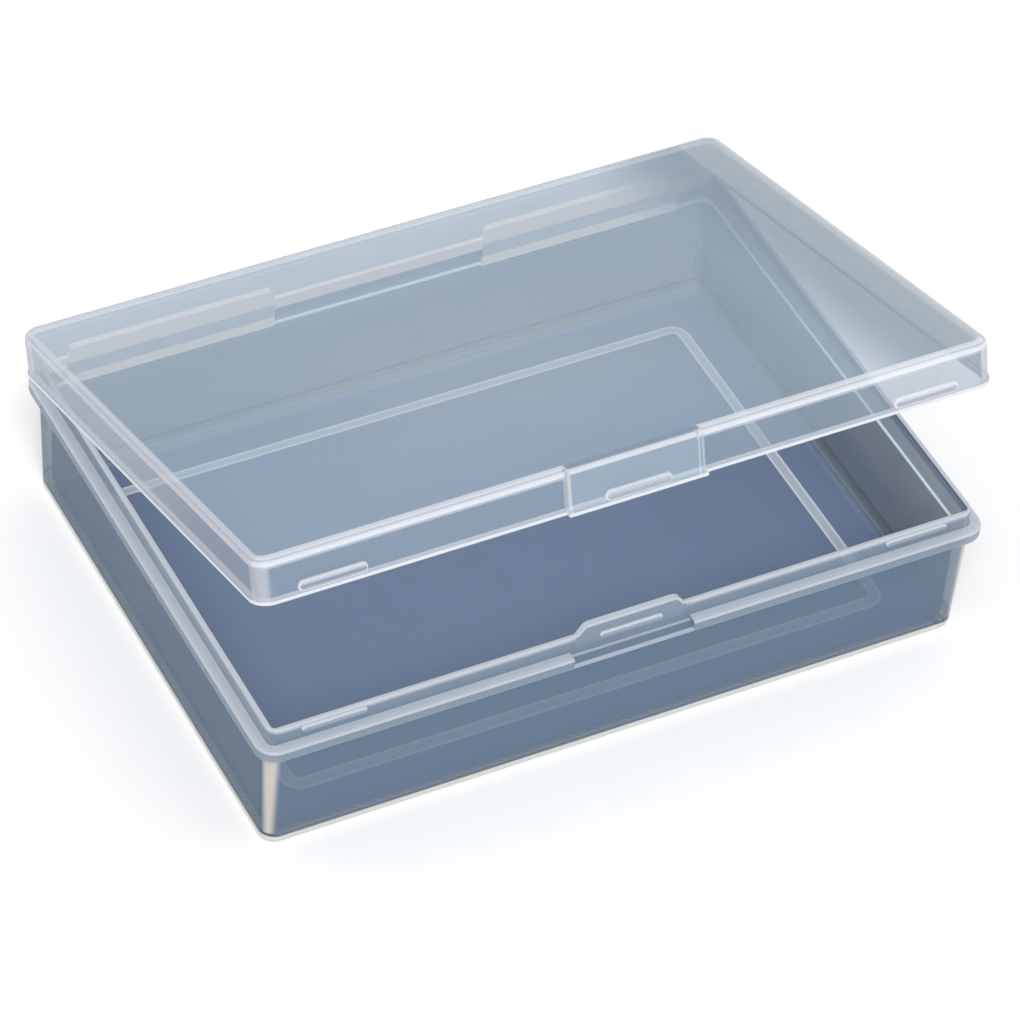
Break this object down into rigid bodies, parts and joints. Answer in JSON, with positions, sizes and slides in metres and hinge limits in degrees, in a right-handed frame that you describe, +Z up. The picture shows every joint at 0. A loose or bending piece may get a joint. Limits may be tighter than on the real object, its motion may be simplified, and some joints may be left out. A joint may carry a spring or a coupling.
{
  "type": "hinged card storage box",
  "caption": "Shallow translucent plastic storage box: an open tray with an upstanding lip and a hinged drop-over lid with a thumb block and snap ribs along the front.",
  "frame": {"origin": "centre of the tray's flat underside", "axes": "+Z up out of the tray, +X along the long side, +Y towards the hinge at the back"},
  "size_m": [0.1456, 0.1081, 0.067],
  "materials": {
    "tray_plastic": "translucent, natural polypropylene, glossy with milky edges",
    "lid_plastic": "translucent, natural polypropylene, glossy with milky edges",
    "hinge_plastic": "translucent, natural polypropylene, milky where it flexes"
  },
  "bodies": {
    "tray": {"base_tray": "tray_plastic", "hinge_web_left": "hinge_plastic", "hinge_web_right": "hinge_plastic"},
    "lid": {"lid": "lid_plastic"}
  },
  "joints": [
    {"name": "lid_hinge", "type": "hinge", "parent": "tray", "child": "lid", "pos_m": [0, 0.05335, 0.02635], "axis": [-1, 0, 0], "range_deg": [-17.6, 162.4]}
  ]
}
